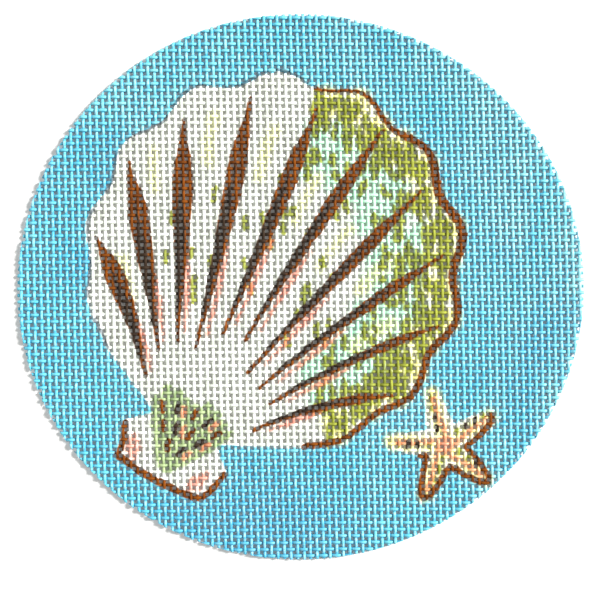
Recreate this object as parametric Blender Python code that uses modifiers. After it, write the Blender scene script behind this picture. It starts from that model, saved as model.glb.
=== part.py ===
"""A round piece of painted needlepoint canvas, lying flat.

The canvas is one thin woven cloth: cotton threads in a plain weave with a square hole between them,
cut to an almost round oval. It is modelled here as the closed solid that its threads fill from edge
to edge. X runs along the longer way across the cloth, Y along the shorter, and Z up out of the
painted face. The origin is at the middle of the unpainted back, on the surface that it lies on.
"""

import math

import bpy

INCH = 0.0254

# The weave sets every size: 18 threads to the inch, counted across and down the cloth
MESH_PER_INCH = 18
THREADS_ACROSS = 86.1
THREADS_DOWN = 83.1
THREAD_THICKNESS = 0.0005

PITCH = INCH / MESH_PER_INCH
WIDTH = THREADS_ACROSS * PITCH
DEPTH = THREADS_DOWN * PITCH
# Where two threads cross, one lies on the other
CLOTH_THICKNESS = 2 * THREAD_THICKNESS

# Cutting the cloth leaves a stub of half a hole past the last thread, worn a little round at the corner
EDGE_ROUND = 0.18 * CLOTH_THICKNESS
EDGE_POINTS = 180

PAINTED_CLOTH = (0.20, 0.62, 0.78, 1.0)
CLOTH_ROUGHNESS = 0.55


def clear_scene():
    for obj in list(bpy.data.objects):
        bpy.data.objects.remove(obj)


def new_collection(name):
    collection = bpy.data.collections.new(name)
    bpy.context.scene.collection.children.link(collection)
    return collection


def move_to(collection, obj):
    for old in list(obj.users_collection):
        old.objects.unlink(obj)
    collection.objects.link(obj)


def paint_material():
    """Acrylic paint on sized cotton: a satin blue."""
    material = bpy.data.materials.new("painted_canvas")
    material.use_nodes = True
    shader = material.node_tree.nodes["Principled BSDF"]
    shader.inputs["Base Color"].default_value = PAINTED_CLOTH
    shader.inputs["Roughness"].default_value = CLOTH_ROUGHNESS
    shader.inputs["Metallic"].default_value = 0.0
    return material


def round_edges(obj):
    bevel = obj.modifiers.new("edge", "BEVEL")
    bevel.width = EDGE_ROUND
    bevel.segments = 2
    bevel.limit_method = "ANGLE"
    bevel.angle_limit = math.radians(60)


def add_canvas(collection):
    """The cloth: a flat disc, made oval, standing on its back at the origin."""
    bpy.ops.mesh.primitive_cylinder_add(
        vertices=EDGE_POINTS,
        radius=0.5,
        depth=1.0,
        location=(0, 0, CLOTH_THICKNESS / 2),
    )
    canvas = bpy.context.object
    canvas.name = "canvas"
    canvas.scale = (WIDTH, DEPTH, CLOTH_THICKNESS)
    bpy.ops.object.transform_apply(location=False, rotation=False, scale=True)
    canvas.data.materials.append(paint_material())
    round_edges(canvas)
    canvas.data.shade_smooth()
    canvas.data.set_sharp_from_angle(angle=math.radians(40))
    move_to(collection, canvas)
    return canvas


def main():
    clear_scene()
    add_canvas(new_collection("needlepoint_canvas"))


main()
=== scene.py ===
import math

import bmesh
import bpy
import numpy as np
from mathutils import Matrix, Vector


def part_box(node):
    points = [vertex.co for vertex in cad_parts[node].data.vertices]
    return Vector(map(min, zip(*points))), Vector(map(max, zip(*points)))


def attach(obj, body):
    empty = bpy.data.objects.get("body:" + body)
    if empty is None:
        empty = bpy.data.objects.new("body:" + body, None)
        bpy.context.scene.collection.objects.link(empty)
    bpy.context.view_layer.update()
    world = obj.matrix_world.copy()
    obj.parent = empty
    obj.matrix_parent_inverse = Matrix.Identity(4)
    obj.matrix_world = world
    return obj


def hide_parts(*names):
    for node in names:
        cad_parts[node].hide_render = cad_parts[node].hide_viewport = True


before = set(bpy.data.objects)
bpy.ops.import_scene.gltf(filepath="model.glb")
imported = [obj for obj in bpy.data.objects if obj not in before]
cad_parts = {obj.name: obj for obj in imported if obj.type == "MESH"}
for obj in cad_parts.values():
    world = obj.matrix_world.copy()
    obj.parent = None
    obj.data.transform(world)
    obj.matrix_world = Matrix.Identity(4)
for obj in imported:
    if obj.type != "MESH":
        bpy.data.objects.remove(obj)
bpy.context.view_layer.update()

# A round of needlepoint canvas. Two sets of sized cotton threads are woven over and under each other,
# cut along an oval, and painted on top with a scallop and a starfish on a sea-blue ground.

mm = 0.001
turn = 2 * math.pi
clothLow, clothHigh = (np.array(corner, float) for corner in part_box("canvas"))
clothWidth, clothDepth, clothThickness = clothHigh - clothLow

weave = {
    "pitch": 25.4 * mm / 18,  # 18 threads to the inch
    "warpWidth": 0.65 * mm,  # the threads that run up and down
    "weftWidth": 0.70 * mm,
    "threadHeight": clothThickness / 2,  # a crossing is two threads thick
    "sides": 8,
    "roundness": 0.6,  # 1 is a round thread, and less is flatter on top
    "ringsPerHole": 4,
    "lengthAt": 1.2,  # a rod's length is read this many radii from its axis, where the oval is longer
    "warpLean": math.radians(-1.5),  # the cloth was cut a little off its grain
    "weftLean": math.radians(0.3),
    "leanRounds": 6,  # how often a leaning thread's end is worked out again
    "wickBy": 0.24 * mm,  # how far paint creeps along a thread, past the brush
    "weldBy": 0.001 * mm,
    "seed": 18,
}

# How uneven each thread is. Each length is that of a wave, over 2 pi
uneven = {
    "waves": 6,
    "widthSpread": 0.055,  # how much thicker or thinner it runs
    "slub": 0.5, "slubLength": 1.2 * mm, "slubGap": 4.7 * mm,
    "swell": 0.6, "swellLength": 13 * mm,
    "strayBy": 0.03 * mm,  # how far it wanders from its place
    "slow": 0.6, "slowLength": 6.1 * mm,
    "quick": 0.5, "quickLength": 2.3 * mm,
    "shifted": 0.7,  # the part of the straying that lasts from end to end
}

# How the whole weave is drawn about, and how its rim stands off the table
drape = {
    "pullBy": 0.13 * mm,
    "sideways": {"length": 17.1 * mm, "bend": 0.9, "bendLength": 31 * mm, "start": 0.4},
    "upways": {"length": 19.3 * mm, "bend": 1.1, "bendLength": 27 * mm, "start": 2.1},
    "liftBy": 0.1 * mm,
    "liftFrom": 0.72,  # 0 is the middle of the cloth, and 1 is its rim
    "lifts": 3, "liftStart": 0.8,
}


# Weaving

def threadSets():
    halfWidth, halfDepth = clothWidth / 2, clothDepth / 2
    warpCount = int(clothWidth / weave["pitch"])
    weftCount = int(clothDepth / weave["pitch"])
    rng = np.random.default_rng(weave["seed"])
    warp = {
        "count": warpCount, "crossed": weftCount,
        "width": weave["warpWidth"],
        "halfAcross": halfWidth, "halfAlong": halfDepth,
        "lean": weave["warpLean"], "crossLean": weave["weftLean"],
        "over": 1,
        "axes": (0, 1),  # X is across these threads, and Y is along them
        "phases": rng.uniform(0, turn, (warpCount, uneven["waves"])),
        "creep": rng.uniform(-1, 1, (warpCount, weftCount + 1)),
    }
    weft = {
        "count": weftCount, "crossed": warpCount,
        "width": weave["weftWidth"],
        "halfAcross": halfDepth, "halfAlong": halfWidth,
        "lean": weave["weftLean"], "crossLean": weave["warpLean"],
        "over": -1,
        "axes": (1, 0),
        "phases": rng.uniform(0, turn, (weftCount, uneven["waves"])),
        "creep": rng.uniform(-1, 1, (weftCount, warpCount + 1)),
    }
    return warp, weft


def ovalEnd(threads, across, side):
    # where a line along the threads, this far across, meets the cut edge
    end = np.zeros_like(np.asarray(across, float))
    for _ in range(weave["leanRounds"]):
        reach = (across + threads["lean"] * end) / threads["halfAcross"]
        end = side * threads["halfAlong"] * np.sqrt(np.clip(1 - reach * reach, 0, 1))
        end = end - threads["crossLean"] * across
    return end


def layRods(threads, numbers):
    # one straight rod for each thread, ringed where it will bend
    bm = bmesh.new()
    step = weave["pitch"] / weave["ringsPerHole"]
    radius = threads["width"] / 2
    crossedMiddle = (threads["crossed"] - 1) / 2 * weave["pitch"]
    for number in numbers:
        place = (number - (threads["count"] - 1) / 2) * weave["pitch"]
        inner = place - math.copysign(weave["lengthAt"] * radius, place)
        low = math.floor((ovalEnd(threads, inner, -1) + crossedMiddle) / step) * step - crossedMiddle
        high = math.ceil((ovalEnd(threads, inner, 1) + crossedMiddle) / step) * step - crossedMiddle
        rings = round((high - low) / step)
        matrix = Matrix.Translation((place, (low + high) / 2, 0)) @ Matrix.Rotation(-turn / 4, 4, "X")
        rod = bmesh.ops.create_cone(
            bm, cap_ends=True, segments=weave["sides"], radius1=radius, radius2=radius,
            depth=high - low, matrix=matrix)
        lengthwise = {
            edge for vert in rod["verts"] for edge in vert.link_edges
            if abs(edge.verts[0].co.y - edge.verts[1].co.y) > step / 2}
        bmesh.ops.subdivide_edges(bm, edges=list(lengthwise), cuts=rings - 1)
    mesh = bpy.data.meshes.new("rods")
    bm.to_mesh(mesh)
    bm.free()
    return mesh


def cutAt(threads, across, along):
    # what lies past the cut edge is moved onto it
    return np.clip(along, ovalEnd(threads, across, -1), ovalEnd(threads, across, 1))


def flattened(part):
    return np.sign(part) * np.abs(part) ** weave["roundness"]


def slowWave(wave, first, second):
    bent = first / wave["length"] + wave["bend"] * np.sin(second / wave["bendLength"])
    return drape["pullBy"] * np.sin(bent + wave["start"])


def drawnAbout(x, y):
    # the same for both sets of threads, so that they stay woven
    sideways = slowWave(drape["sideways"], y, x)
    upways = slowWave(drape["upways"], x, y)
    rim = np.hypot(2 * x / clothWidth, 2 * y / clothDepth)
    risen = np.clip((rim - drape["liftFrom"]) / (1 - drape["liftFrom"]), 0, 1) ** 2
    ripple = np.sin(drape["lifts"] * np.arctan2(y, x) + drape["liftStart"])
    lift = drape["liftBy"] * risen * (0.5 + 0.5 * ripple)
    return sideways, upways, lift


def weaveRods(mesh, threads):
    # every vertex moves from its straight rod to its place on the woven thread
    count = len(mesh.vertices)
    rods = np.empty(3 * count)
    mesh.vertices.foreach_get("co", rods)
    rods = rods.reshape(count, 3)
    pitch = weave["pitch"]
    number = np.rint(rods[:, 0] / pitch + (threads["count"] - 1) / 2).astype(int)
    place = (number - (threads["count"] - 1) / 2) * pitch
    radius = threads["width"] / 2
    aside, above = (rods[:, 0] - place) / radius, rods[:, 2] / radius
    along = cutAt(threads, rods[:, 0], rods[:, 1])
    phase = threads["phases"][number].T
    slubs = np.sin(along / uneven["slubLength"] + phase[0]) * np.sin(along / uneven["slubGap"] + phase[1])
    swells = np.sin(along / uneven["swellLength"] + phase[2])
    fat = 1 + uneven["widthSpread"] * (uneven["slub"] * slubs + uneven["swell"] * swells)
    stray = uneven["strayBy"] * (
        uneven["slow"] * np.sin(along / uneven["slowLength"] + phase[3])
        + uneven["quick"] * np.sin(along / uneven["quickLength"] + phase[4])
        + uneven["shifted"] * np.sin(phase[5]))
    across = place + stray + flattened(aside) * radius * fat
    along = cutAt(threads, across, along)
    # plain weave: each thread goes over one and under the next
    beat = math.pi * (along / pitch + (threads["crossed"] - 1) / 2 + number)
    crimp = threads["over"] * weave["threadHeight"] / 2
    slope = -crimp * math.pi / pitch * np.sin(beat)
    upright = flattened(above) * weave["threadHeight"] / 2 * (0.5 + 0.5 * fat) / np.sqrt(1 + slope * slope)
    height = clothThickness / 2 + crimp * np.cos(beat) + upright
    across = across + threads["lean"] * along
    along = along + threads["crossLean"] * across - upright * slope
    woven = np.empty_like(rods)
    woven[:, threads["axes"][0]] = across
    woven[:, threads["axes"][1]] = along
    sideways, upways, lift = drawnAbout(woven[:, 0], woven[:, 1])
    woven[:, 0] += sideways
    woven[:, 1] += upways
    woven[:, 2] = height + lift
    mesh.vertices.foreach_set("co", woven.ravel())
    keepNumbers(mesh, "facing", above)
    keepNumbers(mesh, "along", rods[:, 1])
    keepNumbers(mesh, "around", np.arctan2(above, aside) / turn % 1)
    keepNumbers(mesh, "number", number)


def keepNumbers(mesh, name, numbers):
    mesh.attributes.new(name, "FLOAT", "POINT").data.foreach_set("value", numbers.astype(np.float32))


def readNumbers(mesh, name):
    numbers = np.empty(len(mesh.vertices), np.float32)
    mesh.attributes[name].data.foreach_get("value", numbers)
    return numbers


def closeEnds(mesh):
    # rings past the cut edge were all moved onto it, and become one there
    bm = bmesh.new()
    bm.from_mesh(mesh)
    bmesh.ops.remove_doubles(bm, verts=bm.verts, dist=weave["weldBy"])
    bmesh.ops.recalc_face_normals(bm, faces=bm.faces)
    bm.to_mesh(mesh)
    bm.free()


# Strokes. The design is in millimetres from the middle of the cloth

brush = {
    "points": 9,  # along a stroke
    "margin": 2.5,  # how far past a stroke its ragged edge is still worked out
    "outside": -9.0,  # the depth of a spot that no stroke comes near
    "tiny": 1e-9,  # keeps a stroke of no length from dividing by nothing
}


def depthIn(spots, path, halfWidths):
    # how deep each spot lies inside a stroke along the path
    deep = np.full(len(spots), brush["outside"])
    for start, end, fromWidth, toWidth in zip(path[:-1], path[1:], halfWidths[:-1], halfWidths[1:]):
        run = end - start
        part = np.clip((spots - start) @ run / max(run @ run, brush["tiny"]), 0, 1)
        away = np.hypot(*(spots - start - part[:, None] * run).T)
        deep = np.maximum(deep, fromWidth + (toWidth - fromWidth) * part - away)
    return deep


def stroke(layers, spots, paint, path, halfWidths):
    path = np.asarray(path, float)
    halfWidths = np.broadcast_to(np.asarray(halfWidths, float), len(path))
    reach = halfWidths.max() + brush["margin"]
    near = np.flatnonzero(
        ((spots > path.min(0) - reach) & (spots < path.max(0) + reach)).all(1))
    deep = depthIn(spots[near], path, halfWidths)
    layers[paint][near] = np.maximum(layers[paint][near], deep)


def depthInside(spots, outline):
    # depth inside a closed outline, negative outside it
    closed = np.vstack([outline, outline[:1]])
    inside = np.zeros(len(spots), bool)
    for (x1, y1), (x2, y2) in zip(closed[:-1], closed[1:]):
        spans = (y1 > spots[:, 1]) != (y2 > spots[:, 1])
        rise = y2 - y1 if y2 != y1 else brush["tiny"]
        crossing = x1 + (spots[:, 1] - y1) * (x2 - x1) / rise
        inside ^= spans & (spots[:, 0] < crossing)
    edge = -depthIn(spots, closed, np.zeros(len(closed)))
    return np.where(inside, edge, -edge)


def bow(start, end, bulge, points=brush["points"]):
    # a path from start to end that bows sideways in its middle
    start, end = np.asarray(start, float), np.asarray(end, float)
    part = np.linspace(0, 1, points)[:, None]
    run = end - start
    aside = np.array([-run[1], run[0]]) / max(np.hypot(*run), brush["tiny"])
    return start + run * part + aside * bulge * 4 * part * (1 - part)


def eased(part):
    return part * part * (3 - 2 * part)


def swelling(points, first, most, last, at=0.6):
    # half-widths of a brush stroke that swells and then thins
    part = np.linspace(0, 1, points)
    rise = np.clip(part / at, 0, 1)
    fall = np.clip((part - at) / (1 - at), 0, 1)
    return first + (most - first) * eased(rise) + (last - most) * eased(fall)


def direction(angle):
    return np.array([math.cos(angle), math.sin(angle)])


# The scallop. Its axis runs from the beak through the middle of the fan, a bearing is an angle from the
# axis, and a place on the rim is a share of the way round it, from left to right

designSeed = 5

shell = {
    "middle": (-6, 5), "radius": 40, "turn": math.radians(62), "beakAway": 49,
    "rimPoints": 121, "lobes": 11, "lobeHeight": 1.3, "lobesEnd": 6,
    "ears": ((9, 7.5), (4.5, 12.5), (-3, 10.5)),  # each corner's place along the axis, and aside of it
    "base": -4,
}


def shellAxes():
    middle = np.array(shell["middle"], float)
    axis = direction(shell["turn"])
    side = np.array([axis[1], -axis[0]])  # to the right of the axis
    beak = middle - axis * shell["beakAway"]
    return middle, axis, side, beak


def rimAway(bearing):
    # from the beak to the rim
    away, radius = shell["beakAway"], shell["radius"]
    return away * math.cos(bearing) + math.sqrt(max(radius ** 2 - (away * math.sin(bearing)) ** 2, 0))


def onFan(bearing, share):
    # share is 0 at the beak and 1 at the rim
    beak = shellAxes()[3]
    return beak + share * rimAway(bearing) * direction(shell["turn"] - bearing)


def shellOutline():
    middle, axis, side, beak = shellAxes()
    tangent = math.pi - math.acos(shell["radius"] / shell["beakAway"])
    rim = []
    for part in np.linspace(-1, 1, shell["rimPoints"]):
        lobe = shell["lobeHeight"] * math.cos(shell["lobes"] * math.pi * part)
        away = shell["radius"] + lobe * (1 - abs(part) ** shell["lobesEnd"])
        rim.append(middle + away * direction(shell["turn"] - part * tangent))
    right = [beak + along * axis + aside * side for along, aside in shell["ears"]]
    left = [beak + along * axis - aside * side for along, aside in reversed(shell["ears"])]
    return np.array(rim + right + [beak + shell["base"] * axis] + left)


def inFromRim(rim, part):
    # the spot of the rim, and the way inwards from it
    middle = shellAxes()[0]
    spot = rim[int(part * (shell["rimPoints"] - 1))]
    return spot, (middle - spot) / np.hypot(*(middle - spot))


# The shaded side of the fan. Each wash starts and ends at a distance in from the rim
washes = {
    "count": 15, "places": (0.47, 0.95),
    "cream": {"from": 1.6, "to": 4.5, "bulge": 0.5, "halfWidth": 2.6},
    "mint": {"from": 9, "to": 17, "bulge": 1, "halfWidth": 2.8},
    "olive": {"from": 2.9, "to": (4.5, 7.5), "bulge": 0.3, "halfWidth": (0.9, 1.5)},
}

dabs = {
    "count": 190, "places": (0.46, 0.97), "points": 5,
    "inset": 2.6, "spread": 14.0, "crowding": 1.6,  # they crowd towards the rim
    "length": (2.0, 7.0), "shortenBy": (1.2, 20), "lean": 0.5, "bulge": 0.3,
    "first": 0.5, "most": (0.7, 1.2), "last": 0.4, "at": 0.5,
}

flecks = {
    "count": 46, "bearings": (-0.5, 0.62), "shares": (0.42, 0.9), "points": 4,
    "length": (1.2, 2.6), "lean": (-0.5, 0.3), "bulge": 0.15, "halfWidth": (0.55, 0.85),
}


def paintShade(layers, spots, rng, rim):
    # washes, with upright dabs that thin out inwards
    cream, mint, olive = washes["cream"], washes["mint"], washes["olive"]
    for part in np.linspace(*washes["places"], washes["count"]):
        spot, inwards = inFromRim(rim, part)
        for paint, wash in (("cream", cream), ("mint", mint)):
            path = bow(spot + wash["from"] * inwards, spot + wash["to"] * inwards, wash["bulge"])
            stroke(layers, spots, paint, path, wash["halfWidth"])
        deepest = rng.uniform(*olive["to"])
        path = bow(spot + olive["from"] * inwards, spot + deepest * inwards, olive["bulge"])
        stroke(layers, spots, "olive", path, rng.uniform(*olive["halfWidth"]))
    for _ in range(dabs["count"]):
        part = rng.uniform(*dabs["places"])
        inset = dabs["inset"] + dabs["spread"] * rng.uniform() ** dabs["crowding"]
        spot, inwards = inFromRim(rim, part)
        spot = spot + inset * inwards
        length = rng.uniform(*dabs["length"]) * (dabs["shortenBy"][0] - inset / dabs["shortenBy"][1])
        half = np.array([rng.uniform(-dabs["lean"], dabs["lean"]), length / 2])
        path = bow(spot - half, spot + half, rng.uniform(-dabs["bulge"], dabs["bulge"]), dabs["points"])
        widths = swelling(dabs["points"], dabs["first"], rng.uniform(*dabs["most"]), dabs["last"], dabs["at"])
        stroke(layers, spots, "olive", path, widths)
    for _ in range(flecks["count"]):
        bearing = rng.uniform(*flecks["bearings"])
        spot = onFan(bearing, rng.uniform(*flecks["shares"]))
        length = rng.uniform(*flecks["length"])
        end = spot + (rng.uniform(*flecks["lean"]), length)
        path = bow(spot, end, flecks["bulge"], flecks["points"])
        stroke(layers, spots, "olive", path, rng.uniform(*flecks["halfWidth"]))


tints = {
    "count": 9, "reach": 0.7, "shares": (0.55, 0.8), "length": 0.12, "bulge": 0.4, "halfWidth": (1.0, 1.8),
}

grooves = {
    "count": 10, "reach": math.radians(45), "points": 17,
    "bold": (1.25, 1.1, 0.28),  # on the first groove, lost by the last one, and the least
    "inner": (0.30, 0.36), "outer": (0.93, 0.97), "gather": 0.9,  # they draw together at the beak
    "bulge": 2.0, "bulgeSpread": 0.4,
    "brown": {"first": 0.45, "most": (0.65, 1.6), "last": 0.35, "at": 0.72},
    "dark": {"span": (2, 13), "aside": -0.4, "first": 0.35, "most": (0.3, 0.85), "last": 0.2, "at": 0.55},
    "rose": {"span": (1, 8), "aside": 1.7, "first": 0.35, "most": (0.75, 0), "last": 0.25, "at": 0.6},
    "doubled": {"above": 0.75, "span": (9, 14), "aside": -0.9, "halfWidth": 0.9},
}


def grooveWidths(line, points, bold):
    least, more = line["most"]
    return swelling(points, line["first"], least + more * bold, line["last"], line["at"])


def paintGrooves(layers, spots, rng):
    # yellow tints on the ribs, then brown grooves with dark middles and rose beside them
    side = shellAxes()[2]
    for bearing in np.linspace(-tints["reach"], tints["reach"], tints["count"]):
        share = rng.uniform(*tints["shares"])
        path = bow(onFan(bearing, share), onFan(bearing, share + tints["length"]), tints["bulge"])
        stroke(layers, spots, "yellow", path, rng.uniform(*tints["halfWidth"]))
    for groove in range(grooves["count"]):
        part = groove / (grooves["count"] - 1)
        bearing = (2 * part - 1) * grooves["reach"]
        boldest, lost, least = grooves["bold"]
        bold = np.clip(boldest - lost * part, least, 1)
        inner, outer = rng.uniform(*grooves["inner"]), rng.uniform(*grooves["outer"])
        spread = grooves["bulgeSpread"]
        bulge = grooves["bulge"] * (part - 0.5) + rng.uniform(-spread, spread)
        start = onFan(bearing * grooves["gather"], inner)
        path = bow(start, onFan(bearing, outer), bulge, grooves["points"])
        stroke(layers, spots, "brown", path, grooveWidths(grooves["brown"], grooves["points"], bold))
        for paint in ("dark", "rose"):
            line = grooves[paint]
            beside = path[slice(*line["span"])] + side * line["aside"]
            stroke(layers, spots, paint, beside, grooveWidths(line, len(beside), bold))
        doubled = grooves["doubled"]
        if bold > doubled["above"]:
            beside = path[slice(*doubled["span"])] + side * doubled["aside"]
            stroke(layers, spots, "brown", beside, doubled["halfWidth"])


# The beak is a sage fan, crossed by three rows of small dashes
beakMarks = {
    "fanCount": 9, "fanReach": 0.62, "fanFrom": 1.0, "fanTo": (13.0, 16.5), "fanWidths": (2.6, 2.2, 1.2),
    "rows": ((3.2, 2), (7.4, 4), (11.6, 5)),  # how far from the beak, and how many dashes
    "rowReach": 1.4, "rowSpread": 0.04, "dashStart": 0.3, "dashLength": (1.6, 2.2), "dashBulge": 0.1,
    "dashPoints": 4, "dashWidth": (0.55, 0.7), "roseAside": 1.5, "roseWidth": 0.6,
}


def paintBeak(layers, spots, rng):
    axis, side, beak = shellAxes()[1:]
    marks = beakMarks
    for bearing in np.linspace(-marks["fanReach"], marks["fanReach"], marks["fanCount"]):
        outwards = direction(shell["turn"] - bearing)
        path = bow(beak + marks["fanFrom"] * axis, beak + rng.uniform(*marks["fanTo"]) * outwards, 0)
        stroke(layers, spots, "sage", path, swelling(brush["points"], *marks["fanWidths"]))
    for away, dashes in marks["rows"]:
        for dash in range(dashes):
            bearing = ((dash + 0.5) / dashes - 0.5) * marks["rowReach"]
            bearing = bearing + rng.uniform(-marks["rowSpread"], marks["rowSpread"])
            outwards = direction(shell["turn"] - bearing)
            start = beak + (away + rng.uniform(-marks["dashStart"], marks["dashStart"])) * outwards
            end = start + rng.uniform(*marks["dashLength"]) * outwards
            path = bow(start, end, marks["dashBulge"], marks["dashPoints"])
            stroke(layers, spots, "dark" if dash % 2 else "brown", path, rng.uniform(*marks["dashWidth"]))
            if dash % 2:
                stroke(layers, spots, "rose", path + marks["roseAside"] * side, marks["roseWidth"])


# Each ear has three rose strokes and a brown edge, and a brown line runs under both. The first row's pairs
# are a value and what it gains over the ear, and the others are a place along the axis and aside of it
ears = {
    "low": (-2.6, 2.0), "aside": (6.0, 3.6), "length": (2.4, 1.6),
    "shares": (0.2, 0.5, 0.8), "bulge": 0.2, "points": 5, "roseWidth": 0.55,
    "tip": (4.0, 11.9), "foot": (-2.6, 10.1), "edgeBulge": 0.4, "edgeWidth": 0.75,
    "base": (-3, 9.8), "baseBulge": -0.8, "baseWidth": 0.85,
}


def paintEars(layers, spots):
    axis, side, beak = shellAxes()[1:]
    for ear in (-1, 1):
        for share in ears["shares"]:
            aside = ears["aside"][0] + ears["aside"][1] * share
            low = beak + (ears["low"][0] + ears["low"][1] * share) * axis + ear * aside * side
            high = low + (ears["length"][0] + ears["length"][1] * share) * axis
            stroke(layers, spots, "rose", bow(low, high, ears["bulge"], ears["points"]), ears["roseWidth"])
        tip, foot = (beak + along * axis + ear * aside * side for along, aside in (ears["tip"], ears["foot"]))
        stroke(layers, spots, "brown", bow(tip, foot, ears["edgeBulge"]), ears["edgeWidth"])
    down, across = ears["base"]
    path = bow(beak + down * axis - across * side, beak + down * axis + across * side, ears["baseBulge"])
    stroke(layers, spots, "brown", path, ears["baseWidth"])


rimMarks = {
    "shaded": (54, 120), "shadedWidths": (0.35, 1.0, 0.7, 0.35),  # which points of the rim
    "pencilEnd": 54, "pencilEvery": 7, "pencilPoints": (5, 8), "pencilAway": 0.4, "pencilWidth": 0.3,
}


def paintRim(layers, spots, rng, rim):
    # a brown edge on the shaded side, and the pencil line on the other
    first, last = rimMarks["shaded"]
    stroke(layers, spots, "brown", rim[first:last], swelling(last - first, *rimMarks["shadedWidths"]))
    for first in range(0, rimMarks["pencilEnd"], rimMarks["pencilEvery"]):
        line = rim[first:first + rng.integers(*rimMarks["pencilPoints"])]
        line = line + rimMarks["pencilAway"] * direction(rng.uniform(0, turn))
        stroke(layers, spots, "pencil", line, rimMarks["pencilWidth"])


def paintShell(layers, spots, rng):
    outline = shellOutline()
    layers["white"] = np.maximum(layers["white"], depthInside(spots, outline))
    rim = outline[:shell["rimPoints"]]
    paintShade(layers, spots, rng, rim)
    paintGrooves(layers, spots, rng)
    paintBeak(layers, spots, rng)
    paintEars(layers, spots)
    paintRim(layers, spots, rng, rim)


star = {
    "middle": (31, -34), "arms": 5, "armLength": 12.5, "turn": math.radians(104),
    "armShape": ((-36, 0.40), (-18, 0.62), (-6.5, 0.93), (0, 1.0), (6.5, 0.93), (18, 0.62)),
    "edgeSlope": 0.6, "edgeFrom": 1.5, "edgeWidth": 0.7, "edgeDepth": 0.3,  # brown, on the lower side
    "centreLength": (0.1, 0.1), "centreWidth": 2.1,
    "creamFrom": 2, "creamTo": 0.9, "creamWidth": 1.6,
    "roseFrom": 0.2, "roseAside": 0.9, "roseTo": 0.82, "roseBulge": 0.3, "roseWidth": 0.6,
    "dots": (0.28, 0.46, 0.64, 0.8), "dotAside": 0.8, "oliveDots": 0.7, "dotLength": (0.1, 0.9),
    "dotWidth": 0.5, "shortPoints": 3,
}


def starOutline():
    middle = np.array(star["middle"], float)
    outline = []
    for arm in range(star["arms"]):
        bearing = star["turn"] + arm * turn / star["arms"]
        for degrees, share in star["armShape"]:
            away = share * star["armLength"]
            outline.append(middle + away * direction(bearing + math.radians(degrees)))
    return np.array(outline)


def paintStar(layers, spots, rng):
    middle, long = np.array(star["middle"], float), star["armLength"]
    deep = depthInside(spots, starOutline())
    layers["white"] = np.maximum(layers["white"], deep)
    lower = (spots[:, 1] - middle[1]) - star["edgeSlope"] * (spots[:, 0] - middle[0]) < star["edgeFrom"]
    edge = np.where(lower, star["edgeWidth"] - np.abs(deep - star["edgeDepth"]), brush["outside"])
    layers["brown"] = np.maximum(layers["brown"], edge)
    centre = bow(middle, middle + star["centreLength"], 0, star["shortPoints"])
    stroke(layers, spots, "rose", centre, star["centreWidth"])
    for arm in range(star["arms"]):
        outwards = direction(star["turn"] + arm * turn / star["arms"])
        aside = np.array([outwards[1], -outwards[0]])
        path = bow(middle + star["creamFrom"] * outwards, middle + star["creamTo"] * long * outwards, 0)
        stroke(layers, spots, "cream", path, star["creamWidth"])
        start = middle + star["roseFrom"] * long * outwards + star["roseAside"] * aside
        path = bow(start, middle + star["roseTo"] * long * outwards, star["roseBulge"])
        stroke(layers, spots, "rose", path, star["roseWidth"])
        for share in star["dots"]:
            spot = middle + share * long * outwards - star["dotAside"] * aside
            paint = "olive" if rng.uniform() < star["oliveDots"] else "dark"
            path = bow(spot, spot + star["dotLength"], 0, star["shortPoints"])
            stroke(layers, spots, paint, path, star["dotWidth"])


def paintLayers(spots):
    # for each paint, the depth of every spot inside its strokes
    layers = {paint["name"]: np.full(len(spots), brush["outside"]) for paint in paints}
    rng = np.random.default_rng(designSeed)
    paintShell(layers, spots, rng)
    paintStar(layers, spots, rng)
    return layers


# Paints, in the order they are laid: soft is the width of the edge and ragged how uneven it is, in mm

def screenColour(red, green, blue):
    return tuple((part / 255 / 12.92 if part < 11 else ((part / 255 + 0.055) / 1.055) ** 2.4)
                 for part in (red, green, blue)) + (1.0,)


# each paint's deep colour is also laid as painted shade down the sides of the threads
paints = [
    {"name": "white", "light": (238, 241, 235), "deep": (204, 208, 196), "soft": 0.15, "ragged": 0.5,
     "strength": 1.0},
    {"name": "mint", "light": (190, 238, 208), "deep": (146, 214, 178), "soft": 1.6, "ragged": 2.0,
     "strength": 0.75},
    {"name": "cream", "light": (240, 238, 165), "deep": (222, 216, 120), "soft": 1.2, "ragged": 1.5,
     "strength": 0.85},
    {"name": "yellow", "light": (240, 240, 175), "deep": (228, 232, 150), "soft": 1.0, "ragged": 1.6,
     "strength": 0.6},
    {"name": "sage", "light": (166, 186, 126), "deep": (112, 136, 84), "soft": 0.5, "ragged": 0.8,
     "strength": 0.92},
    {"name": "olive", "light": (150, 157, 44), "deep": (100, 108, 12), "soft": 0.25, "ragged": 0.5,
     "strength": 0.94},
    {"name": "rose", "light": (226, 138, 108), "deep": (196, 98, 70), "soft": 0.35, "ragged": 0.8,
     "strength": 0.78},
    {"name": "brown", "light": (124, 64, 2), "deep": (84, 40, 0), "soft": 0.2, "ragged": 0.4,
     "strength": 1.0},
    {"name": "dark", "light": (54, 40, 28), "deep": (38, 27, 18), "soft": 0.2, "ragged": 0.45,
     "strength": 1.0},
    {"name": "pencil", "light": (70, 88, 102), "deep": (50, 64, 76), "soft": 0.12, "ragged": 0.25,
     "strength": 0.8},
]

# The brushwork that all the paints share
brushwork = {
    "wobbleScale": 900, "blotScale": 700, "blotStretch": (1.0, 0.3, 1.0), "blotRange": (0.3, 0.7),
    # the sides and the two tone values set the painted shade down the sides of a thread, next to the random
    # blots
    "sides": (0.6, 1.0), "sideShade": 0.6, "blotTone": 1.15, "toneFrom": -0.38,
    "stopsAt": (-0.75, -0.25), "stopRagged": 0.5,  # how far round a thread the paint reaches
}

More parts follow.
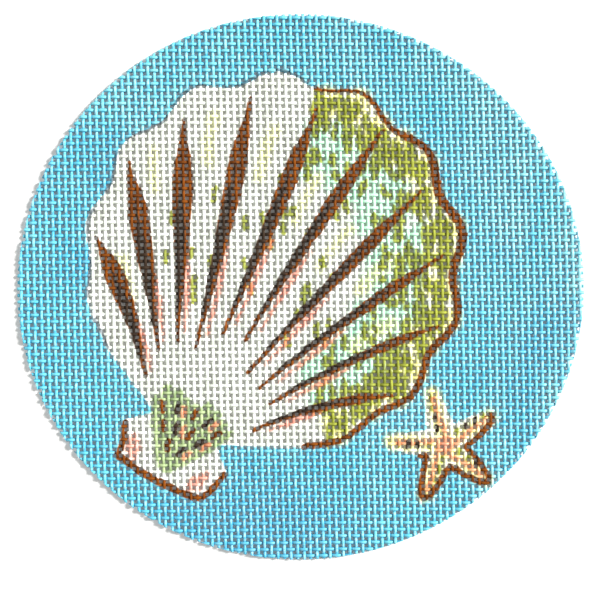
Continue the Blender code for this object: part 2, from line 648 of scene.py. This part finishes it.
ground = {
    "main": (102, 194, 207), "pale": (142, 206, 207), "strong": (54, 157, 192),
    # a deeper blue painted as shade where threads dip, and a pale blue for the crowns, where thin paint meets
    # a painted highlight
    "dipShade": (2, 146, 184), "thinAndHighlight": (206, 236, 238), "raw": (227, 227, 221),
    "towardsLight": (0.55, 0.5, 0),
    "streakScale": 60.8, "streakTurn": 0.4, "streakStretch": (1, 0.5, 1),
    "flanks": (1, 0.35, 0), "flankPale": 2.5, "litPale": 3.0, "paleRange": (0.5, 0.85), "mostPale": 0.95,
    "haloScale": 90, "haloRagged": 6, "haloRange": (-1, 3), "mostHalo": 0.5,
    "cloudScale": 26.6, "litStrong": -3.0, "strongRange": (0.5, 0.75), "mostStrong": 0.7,
    # a deeper blue along the lower edge, darker towards the bottom
    "lowerEdgeBlue": (74, 144, 183), "lowerEdgeMiddle": (-0.010, -0.055, 0), "lowerEdgeShape": (1, 1.5, 0),
    "lowerEdgeRagged": 0.02, "lowerEdgeRange": (0.015, 0.045), "mostLowerEdge": 0.55,
    "toneStrong": 0.55,
    "dipRange": (0.45 * mm, 0.85 * mm), "mostDipShade": 0.85,
    "crownRange": (0.4, 1.0), "crownSpotScale": 1500, "crownSpotRange": (0.4, 0.65),
    "soak": 0.6,  # how much of the paint shows on the back
}

finish = {
    "roughness": 0.38, "rawRoughness": 0.85, "thickRoughness": 0.9, "roughSpread": 0.3, "specular": 0.22,
    "thickPaints": ("olive", "brown", "dark"),
    "plyScale": 190, "plyWander": 1.5, "plyDetail": 1.0, "plyDetailScale": 2.0,
    "plyHeight": 0.03 * mm, "plyStrength": 0.6,
    "grainScale": 5200, "grainHeight": 0.02 * mm, "grainStrength": 0.5,
    "warpPlyTurn": math.radians(35), "weftPlyTurn": math.radians(125),
    "warpWornAndHighlight": 0.42, "weftWornAndHighlight": 0.1,  # how pale the ground is on the crowns: thin paint, and a painted highlight, stronger on the warp
}

fineNoise = {"detail": 3, "roughness": 0.6}


class Nodes:
    # a short hand for wiring a material
    def __init__(self, name):
        self.material = bpy.data.materials.new(name)
        self.material.use_nodes = True
        self.tree = self.material.node_tree
        self.shader = self.tree.nodes["Principled BSDF"]

    def add(self, kind, inputs=(), **settings):
        node = self.tree.nodes.new("ShaderNode" + kind)
        for name, value in settings.items():
            setattr(node, name, value)
        for name, value in dict(inputs).items():
            self.put(node.inputs[name], value)
        return node

    def put(self, socket, value):
        if isinstance(value, bpy.types.NodeSocket):
            self.tree.links.new(value, socket)
        else:
            socket.default_value = value

    def math(self, operation, *values, **settings):
        return self.add("Math", enumerate(values), operation=operation, **settings).outputs[0]

    def spread(self, value, fromLow, fromHigh, toLow=0.0, toHigh=1.0):
        node = self.add("MapRange", {
            "Value": value, "From Min": fromLow, "From Max": fromHigh, "To Min": toLow, "To Max": toHigh,
        }, interpolation_type="SMOOTHSTEP")
        return node.outputs[0]

    def mix(self, factor, first, second):
        node = self.add("Mix", {0: factor, 6: first, 7: second}, data_type="RGBA")
        return node.outputs[2]

    def noise(self, place, scale, detail=2.0, roughness=0.5):
        node = self.add("TexNoise", {
            "Vector": place, "Scale": scale, "Detail": detail, "Roughness": roughness})
        return node.outputs[0]

    def attribute(self, name):
        return self.add("Attribute", attribute_name=name).outputs["Fac"]


def groundPaint(n, place, facing, tone, wornAndHighlight):
    # the sea-blue ground: paler towards the light and on the flanks, stronger away from it
    main, pale, strong, lowerEdgeBlue, dipShade, thinAndHighlight = (
        screenColour(*ground[name]) for name in ("main", "pale", "strong", "lowerEdgeBlue", "dipShade", "thinAndHighlight"))
    lit = n.add("VectorMath", {0: place, 1: ground["towardsLight"]}, operation="DOT_PRODUCT").outputs[1]
    streaked = n.add("Mapping", {
        "Vector": place, "Rotation": (0, 0, ground["streakTurn"]), "Scale": ground["streakStretch"]})
    streaks = n.noise(streaked.outputs[0], ground["streakScale"], **fineNoise)
    flank = n.add("VectorMath", {0: place, 1: ground["flanks"]}, operation="MULTIPLY").outputs[0]
    outer = n.add("VectorMath", {0: flank}, operation="LENGTH").outputs[1]
    streaks = n.math("MULTIPLY_ADD", outer, ground["flankPale"], streaks)
    streaks = n.math("MULTIPLY_ADD", lit, ground["litPale"], streaks)
    blue = n.mix(n.spread(streaks, *ground["paleRange"], 0, ground["mostPale"]), main, pale)
    # it is thinner where the brush went round the shell
    halo = n.math(
        "MULTIPLY_ADD", n.noise(place, ground["haloScale"]), ground["haloRagged"], n.attribute("white"))
    blue = n.mix(n.spread(halo, *ground["haloRange"], 0, ground["mostHalo"]), blue, pale)
    clouds = n.noise(place, ground["cloudScale"])
    shaded = n.math("MULTIPLY_ADD", lit, ground["litStrong"], clouds)
    blue = n.mix(n.spread(shaded, *ground["strongRange"], 0, ground["mostStrong"]), blue, strong)
    # a deeper, darker blue along the lower edge
    lowerEdgePlace = n.add("VectorMath", {0: place, 1: ground["lowerEdgeMiddle"]}, operation="SUBTRACT").outputs[0]
    lowerEdgePlace = n.add("VectorMath", {0: lowerEdgePlace, 1: ground["lowerEdgeShape"]}, operation="MULTIPLY").outputs[0]
    lowerEdgeAway = n.add("VectorMath", {0: lowerEdgePlace}, operation="LENGTH").outputs[1]
    lowerEdgeAway = n.math("MULTIPLY_ADD", clouds, ground["lowerEdgeRagged"], lowerEdgeAway)
    lowerEdge = n.spread(lowerEdgeAway, *ground["lowerEdgeRange"], ground["mostLowerEdge"], 0)
    blue = n.mix(lowerEdge, blue, lowerEdgeBlue)
    # painted shade down the sides of the threads, mixed with random blots
    blue = n.mix(n.math("MULTIPLY", tone, ground["toneStrong"]), blue, strong)
    # painted shade: a deeper blue where a thread dips under the next one
    height = n.add("SeparateXYZ", {0: place}).outputs[2]
    dip = n.spread(height, *ground["dipRange"], 1, 0)
    blue = n.mix(n.math("MULTIPLY", dip, ground["mostDipShade"]), blue, dipShade)
    # painted highlight: the crowns turn paler, partly from thin paint and partly standing in for the lamp's
    # glint
    crown = n.math(
        "MULTIPLY", n.spread(facing, *ground["crownRange"]),
        n.spread(n.noise(place, ground["crownSpotScale"]), *ground["crownSpotRange"], 0, wornAndHighlight))
    return n.mix(crown, blue, thinAndHighlight)


def paintedThread(name, plyTurn, wornAndHighlight):
    n = Nodes(name)
    place = n.add("TexCoord").outputs["Object"]
    facing = n.attribute("facing")
    wobble = n.math("SUBTRACT", n.noise(place, brushwork["wobbleScale"]), 0.5)
    brushed = n.add("Mapping", {"Vector": place, "Scale": brushwork["blotStretch"]}).outputs[0]
    blots = n.spread(n.noise(brushed, brushwork["blotScale"], **fineNoise), *brushwork["blotRange"])
    # painted shade: the sides of a thread take the deeper colour of each paint and its crown the paler, with
    # random blots of thicker and thinner paint
    sides = n.spread(facing, *brushwork["sides"], 1, 0)
    tone = n.math("MULTIPLY_ADD", blots, brushwork["blotTone"], brushwork["toneFrom"])
    tone = n.math("MULTIPLY_ADD", sides, brushwork["sideShade"], tone, use_clamp=True)
    colour = groundPaint(n, place, facing, tone, wornAndHighlight)

    thick = 0.0
    for paint in paints:
        ragged = n.math("MULTIPLY_ADD", wobble, paint["ragged"], n.attribute(paint["name"]))
        cover = n.spread(ragged, -paint["soft"], paint["soft"], 0, paint["strength"])
        # painted shade: each paint turns to its deep colour down the sides of a thread
        pigment = n.mix(tone, screenColour(*paint["light"]), screenColour(*paint["deep"]))
        colour = n.mix(cover, colour, pigment)
        if paint["name"] in finish["thickPaints"]:
            thick = n.math("MAXIMUM", thick, cover)

    # the brush reaches the top and the sides, and some paint soaks through to the back
    reached = n.math("MULTIPLY_ADD", wobble, brushwork["stopRagged"], facing)
    painted = n.spread(reached, *brushwork["stopsAt"])
    raw = n.mix(ground["soak"], screenColour(*ground["raw"]), colour)
    colour = n.mix(painted, raw, colour)

    # two plies twisted together, and the fine grain of fibres stuck down by paint
    twisted = n.add("Mapping", {"Vector": place, "Rotation": (0, 0, plyTurn)}).outputs[0]
    plies = n.add("TexWave", {
        "Vector": twisted, "Scale": finish["plyScale"], "Distortion": finish["plyWander"],
        "Detail": finish["plyDetail"], "Detail Scale": finish["plyDetailScale"],
    }, wave_type="BANDS", bands_direction="X").outputs[1]
    grain = n.noise(place, finish["grainScale"], **fineNoise)
    bump = n.add("Bump", {
        "Height": plies, "Distance": finish["plyHeight"], "Strength": finish["plyStrength"]})
    bump = n.add("Bump", {
        "Height": grain, "Distance": finish["grainHeight"], "Strength": finish["grainStrength"],
        "Normal": bump.outputs[0]})
    brushRough = n.spread(thick, 0, 1, finish["roughness"], finish["thickRoughness"])
    rough = n.add("Mix", {0: painted, 2: finish["rawRoughness"], 3: brushRough}).outputs[0]
    rough = n.math("MULTIPLY_ADD", n.math("SUBTRACT", grain, 0.5), finish["roughSpread"], rough)

    n.put(n.shader.inputs["Base Color"], colour)
    n.put(n.shader.inputs["Roughness"], rough)
    n.put(n.shader.inputs["Normal"], bump.outputs[0])
    n.shader.inputs["Specular IOR Level"].default_value = finish["specular"]
    return n.material


# Putting the cloth together

# The map: every thread slit along its length and laid flat, one strip under the next, with its cut ends
# beyond the ends of its strip
mapLayout = {
    "halfLength": 0.47, "stripFrom": 0.04, "stripHeight": 0.9,
    "endOut": 0.012, "endHalfWidth": 0.004, "endHalfHeight": 0.3,
}


def unroll(mesh, threads):
    first, total = np.empty(len(mesh.polygons), int), np.empty(len(mesh.polygons), int)
    corner = np.empty(len(mesh.loops), int)
    mesh.polygons.foreach_get("loop_start", first)
    mesh.polygons.foreach_get("loop_total", total)
    mesh.loops.foreach_get("vertex_index", corner)
    around = readNumbers(mesh, "around")[corner]
    number = readNumbers(mesh, "number")[corner]
    along = readNumbers(mesh, "along")[corner] / threads["halfAlong"]
    most = np.repeat(np.maximum.reduceat(around, first), total)
    onEnd = np.repeat(total > 4, total)  # a cut end is the only face with more than four corners
    strip = around + (most - around > 0.5)
    lowest, count = number.min(), number.max() + 1 - number.min()
    up = np.where(
        onEnd, 0.5 + mapLayout["endHalfHeight"] * np.sin(turn * around),
        mapLayout["stripFrom"] + mapLayout["stripHeight"] * strip)
    endOut = mapLayout["endOut"] + mapLayout["endHalfWidth"] * np.cos(turn * around)
    out = np.where(onEnd, np.sign(along) * endOut, 0)
    places = np.stack([0.5 + mapLayout["halfLength"] * along + out, (number - lowest + up) / count], 1)
    mesh.uv_layers.new(name="OFBake").uv.foreach_set("vector", places.astype(np.float32).ravel())


def brushedAt(mesh, threads):
    # the spot of the design that each vertex takes its paint from: wet paint creeps a little way
    # along its own thread, so an edge steps from one thread to the next
    places = np.empty(3 * len(mesh.vertices))
    mesh.vertices.foreach_get("co", places)
    spots = places.reshape(-1, 3)[:, :2]
    number = readNumbers(mesh, "number").astype(int)
    cell = readNumbers(mesh, "along") / weave["pitch"] + threads["crossed"] / 2
    creep = threads["creep"][number, np.clip(np.floor(cell), 0, threads["crossed"]).astype(int)]
    spots[:, threads["axes"][1]] += weave["wickBy"] * creep
    return spots


def addThreads(name, threads, numbers, material):
    mesh = layRods(threads, numbers)
    weaveRods(mesh, threads)
    closeEnds(mesh)
    for paint, deep in paintLayers(brushedAt(mesh, threads) / mm).items():
        keepNumbers(mesh, paint, deep)
    unroll(mesh, threads)
    mesh.shade_smooth()
    mesh.name = name
    mesh.materials.append(material)
    piece = bpy.data.objects.new(name, mesh)
    bpy.context.scene.collection.objects.link(piece)
    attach(piece, "root")
    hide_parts("canvas")
    print(name, len(numbers), "threads,", len(mesh.vertices), "vertices")


def weaveCanvas():
    warp, weft = threadSets()
    warpFinish = paintedThread("paintedWarp", finish["warpPlyTurn"], finish["warpWornAndHighlight"])
    weftFinish = paintedThread("paintedWeft", finish["weftPlyTurn"], finish["weftWornAndHighlight"])
    warpHalf, weftHalf = warp["count"] // 2, (weft["count"] + 1) // 2
    addThreads("warp_threads_left", warp, range(0, warpHalf), warpFinish)
    addThreads("warp_threads_right", warp, range(warpHalf, warp["count"]), warpFinish)
    addThreads("weft_threads_lower", weft, range(0, weftHalf), weftFinish)
    addThreads("weft_threads_upper", weft, range(weftHalf, weft["count"]), weftFinish)


# Table, light and camera

studio = {
    "floorSize": 8.0, "floorCells": 4, "floorGap": 0.02 * mm, "floorColour": (230, 229, 226),
    "floorGrain": 60, "floorDetail": 3, "floorRange": (0.3, 0.7), "floorRoughness": (0.6, 0.75),
    "skyColour": (240, 241, 243), "skyStrength": 0.25,
    "lamps": {
        "keyLamp": {"place": (2.05, 0.76, 1.36), "size": 0.9, "power": 172},
        "fillLamp": {"place": (-1.9, -0.2, 1.1), "size": 0.9, "power": 28},
        "topLamp": {"place": (0.15, 0.1, 2.3), "size": 0.8, "power": 5.0},
    },
}


def addFloor():
    bm = bmesh.new()
    cells = studio["floorCells"]
    bmesh.ops.create_grid(bm, x_segments=cells, y_segments=cells, size=studio["floorSize"] / 2)
    bmesh.ops.translate(bm, verts=bm.verts, vec=(0, 0, -studio["floorGap"]))
    mesh = bpy.data.meshes.new("floor")
    bm.to_mesh(mesh)
    bm.free()
    n = Nodes("paleTable")
    place = n.add("TexCoord").outputs["Object"]
    grain = n.noise(place, studio["floorGrain"], studio["floorDetail"])
    n.put(n.shader.inputs["Base Color"], screenColour(*studio["floorColour"]))
    rough = n.spread(grain, *studio["floorRange"], *studio["floorRoughness"])
    n.put(n.shader.inputs["Roughness"], rough)
    mesh.materials.append(n.material)
    floor = bpy.data.objects.new("floor", mesh)
    bpy.context.scene.collection.objects.link(floor)


def addLamp(name, place, size, power):
    lamp = bpy.data.lights.new(name, "AREA")
    lamp.shape, lamp.size, lamp.energy = "DISK", size, power
    holder = bpy.data.objects.new(name, lamp)
    holder.location = place
    holder.rotation_euler = (-holder.location).to_track_quat("-Z", "Y").to_euler()
    bpy.context.scene.collection.objects.link(holder)


def addStudio():
    addFloor()
    world = bpy.data.worlds.new("sky")
    bpy.context.scene.world = world
    world.use_nodes = True
    sky = world.node_tree.nodes["Background"]
    sky.inputs["Color"].default_value = screenColour(*studio["skyColour"])
    sky.inputs["Strength"].default_value = studio["skyStrength"]
    for name, lamp in studio["lamps"].items():
        addLamp(name, **lamp)
    bpy.context.scene.view_settings.view_transform = "Standard"


view = {
    "lens": 85, "sensor": 36, "nearest": 0.01,
    "framePixels": 600, "clothPixels": 566, "clothMiddle": (300.5, 287),  # in the photograph
}


def addCamera():
    # straight above, at the height where the cloth fills as much of the frame as in the photograph
    scale = clothWidth / view["clothPixels"]
    middle = view["framePixels"] / 2
    camera = bpy.data.cameras.new("camera")
    camera.lens, camera.sensor_width = view["lens"], view["sensor"]
    camera.clip_start = view["nearest"]
    holder = bpy.data.objects.new("camera", camera)
    away = scale * view["framePixels"] * view["lens"] / view["sensor"]
    holder.location = (
        (middle - view["clothMiddle"][0]) * scale, (view["clothMiddle"][1] - middle) * scale,
        away + clothThickness)
    bpy.context.scene.collection.objects.link(holder)
    bpy.context.scene.camera = holder


addCamera()
print("camera above the cloth")
addStudio()
print("table and lamps set")
weaveCanvas()
print("canvas woven and painted")
